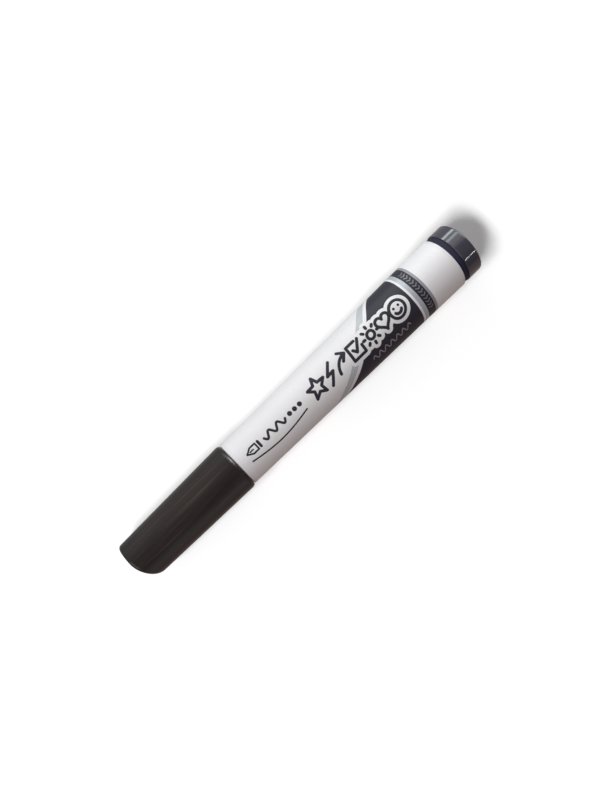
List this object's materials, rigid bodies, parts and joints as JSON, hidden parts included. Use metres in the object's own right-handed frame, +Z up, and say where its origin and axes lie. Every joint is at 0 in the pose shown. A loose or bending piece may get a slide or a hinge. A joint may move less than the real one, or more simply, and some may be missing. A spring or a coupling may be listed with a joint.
{
  "type": "whiteboard marker",
  "caption": "Refillable whiteboard marker with a pull-off cap, tapered printed barrel, bullet nib, fibre ink reservoir and pull-out tail plug.",
  "frame": {"origin": "on the surface that the marker lies on, under the middle of its length", "axes": "+X along the marker's axis from the cap to the tail plug, +Z up, and -Y the side that the slanted sweep of the cap's closed end faces"},
  "size_m": [0.137, 0.018, 0.018],
  "materials": {
    "barrel_plastic": "satin moulded polypropylene, white",
    "label_print": "printed film, white ground with near-black, grey and silver inks",
    "holder_plastic": "satin moulded, light grey",
    "nib_felt": "bonded fibre stained by black ink",
    "reservoir_fibre": "ink-soaked polyester fibre",
    "wrap_film": "thin clear film",
    "plug_plastic": "high gloss, black",
    "seal_rubber": "matte, blue-black",
    "cap_plastic": "satin moulded polypropylene, warm black",
    "liner_plastic": "natural polyethylene"
  },
  "bodies": {
    "barrel": {"barrel": "barrel_plastic", "label_film": "label_print", "nib_holder": "holder_plastic", "nib": "nib_felt", "reservoir_core": "reservoir_fibre", "reservoir_wrap": "wrap_film"},
    "cap": {"cap": "cap_plastic", "cap_liner": "liner_plastic"},
    "tail_plug": {"tail_plug": "plug_plastic", "plug_seal": "seal_rubber"}
  },
  "joints": [
    {"name": "cap_pull", "type": "slide", "parent": "barrel", "child": "cap", "axis": [-1, 0, 0], "range_m": [0, 0.045]},
    {"name": "plug_pull", "type": "slide", "parent": "barrel", "child": "tail_plug", "axis": [1, 0, 0], "range_m": [0, 0.025]}
  ]
}
